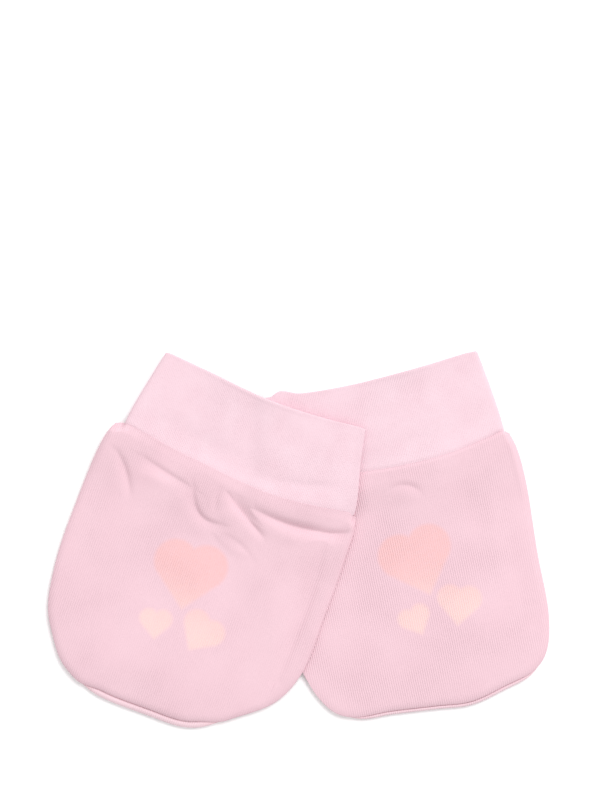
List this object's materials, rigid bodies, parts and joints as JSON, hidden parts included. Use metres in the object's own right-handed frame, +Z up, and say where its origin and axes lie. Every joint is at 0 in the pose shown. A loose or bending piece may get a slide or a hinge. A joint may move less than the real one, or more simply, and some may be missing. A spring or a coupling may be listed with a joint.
{
  "type": "pair of baby mittens",
  "caption": "Newborn's thumbless jersey scratch mittens with folded rib cuffs, laid flat, one overlapping the other; they cover a baby's hands.",
  "frame": {"origin": "middle of the pair's bounding box, on the surface that it lies on", "axes": "+Z up from the surface, +X to the right across both mittens, fingertips towards -Y and cuff mouths towards +Y"},
  "size_m": [0.1606, 0.1206, 0.0115],
  "materials": {
    "jersey": "soft pale pink single jersey, matt",
    "rib": "paler pink fine rib, matt"
  },
  "bodies": {
    "root": {"left_mitten_back": "jersey", "left_mitten_palm": "jersey", "left_mitten_cuff": "rib", "right_mitten_back": "jersey", "right_mitten_palm": "jersey", "right_mitten_cuff": "rib"}
  },
  "joints": []
}
